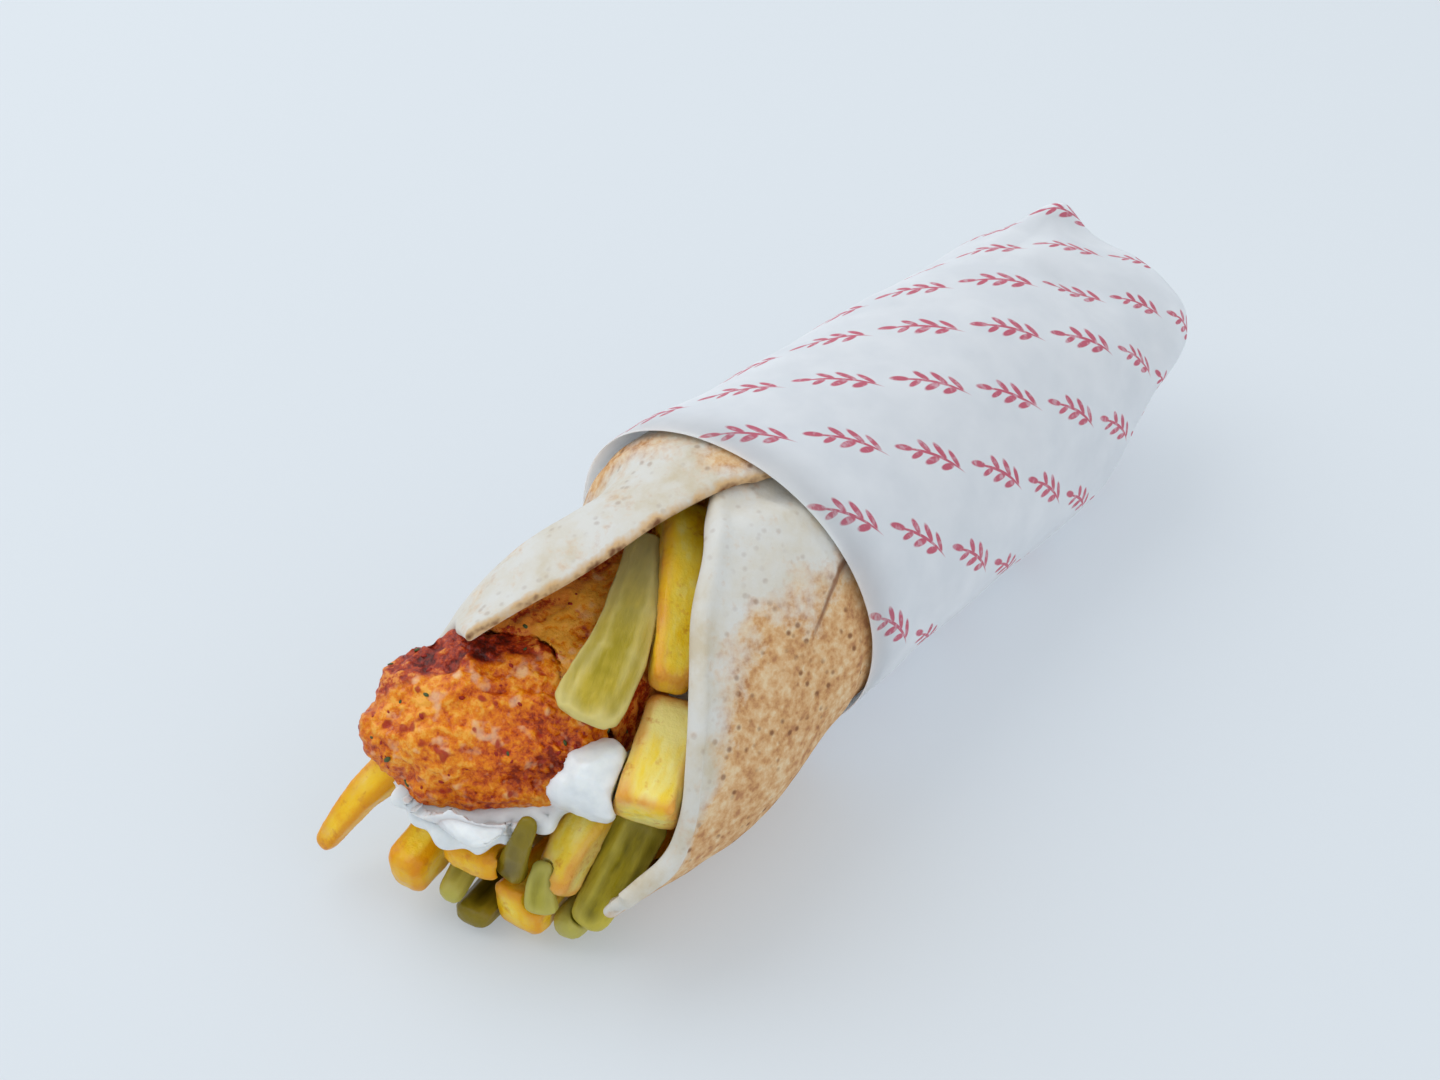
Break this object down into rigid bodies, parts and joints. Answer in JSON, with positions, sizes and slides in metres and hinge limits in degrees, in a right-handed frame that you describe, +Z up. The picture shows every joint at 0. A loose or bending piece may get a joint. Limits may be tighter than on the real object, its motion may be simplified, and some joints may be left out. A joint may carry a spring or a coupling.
{
  "type": "chicken kebab",
  "caption": "Grilled chicken kebab rolled in thin flatbread with fries, pickles and garlic sauce, open at the front, its back in a folded paper sleeve.",
  "frame": {"origin": "middle of the flat underside of the paper sleeve, 58 mm behind the sleeve's mouth", "axes": "+Y along the roll from its open end to its folded end, +Z up, +X to the right seen from the open end"},
  "size_m": [0.0667, 0.2062, 0.0667],
  "materials": {
    "paper": "matte, with a small crimson print",
    "bread": "matte, pale with toasted brown patches",
    "chicken": "moist and granular, charred in places",
    "fries": "fried, slightly oily",
    "pickle": "wet and glossy",
    "sauce": "creamy, soft gloss"
  },
  "bodies": {
    "root": {"paper_sleeve": "paper", "flatbread": "bread", "chicken_front": "chicken", "chicken_long": "chicken", "garlic_sauce": "sauce", "garlic_dollop": "sauce", "fries_bundle": "fries", "fry_upright": "fries", "fry_broad": "fries", "fry_slanted": "fries", "fry_square": "fries", "fry_under_sauce": "fries", "fry_low_left": "fries", "fry_sticking_out": "fries", "pickle_long": "pickle", "pickle_right": "pickle", "pickle_middle": "pickle", "pickle_pale": "pickle", "pickle_small": "pickle", "pickle_dark": "pickle", "pickle_chip": "pickle"}
  },
  "joints": []
}
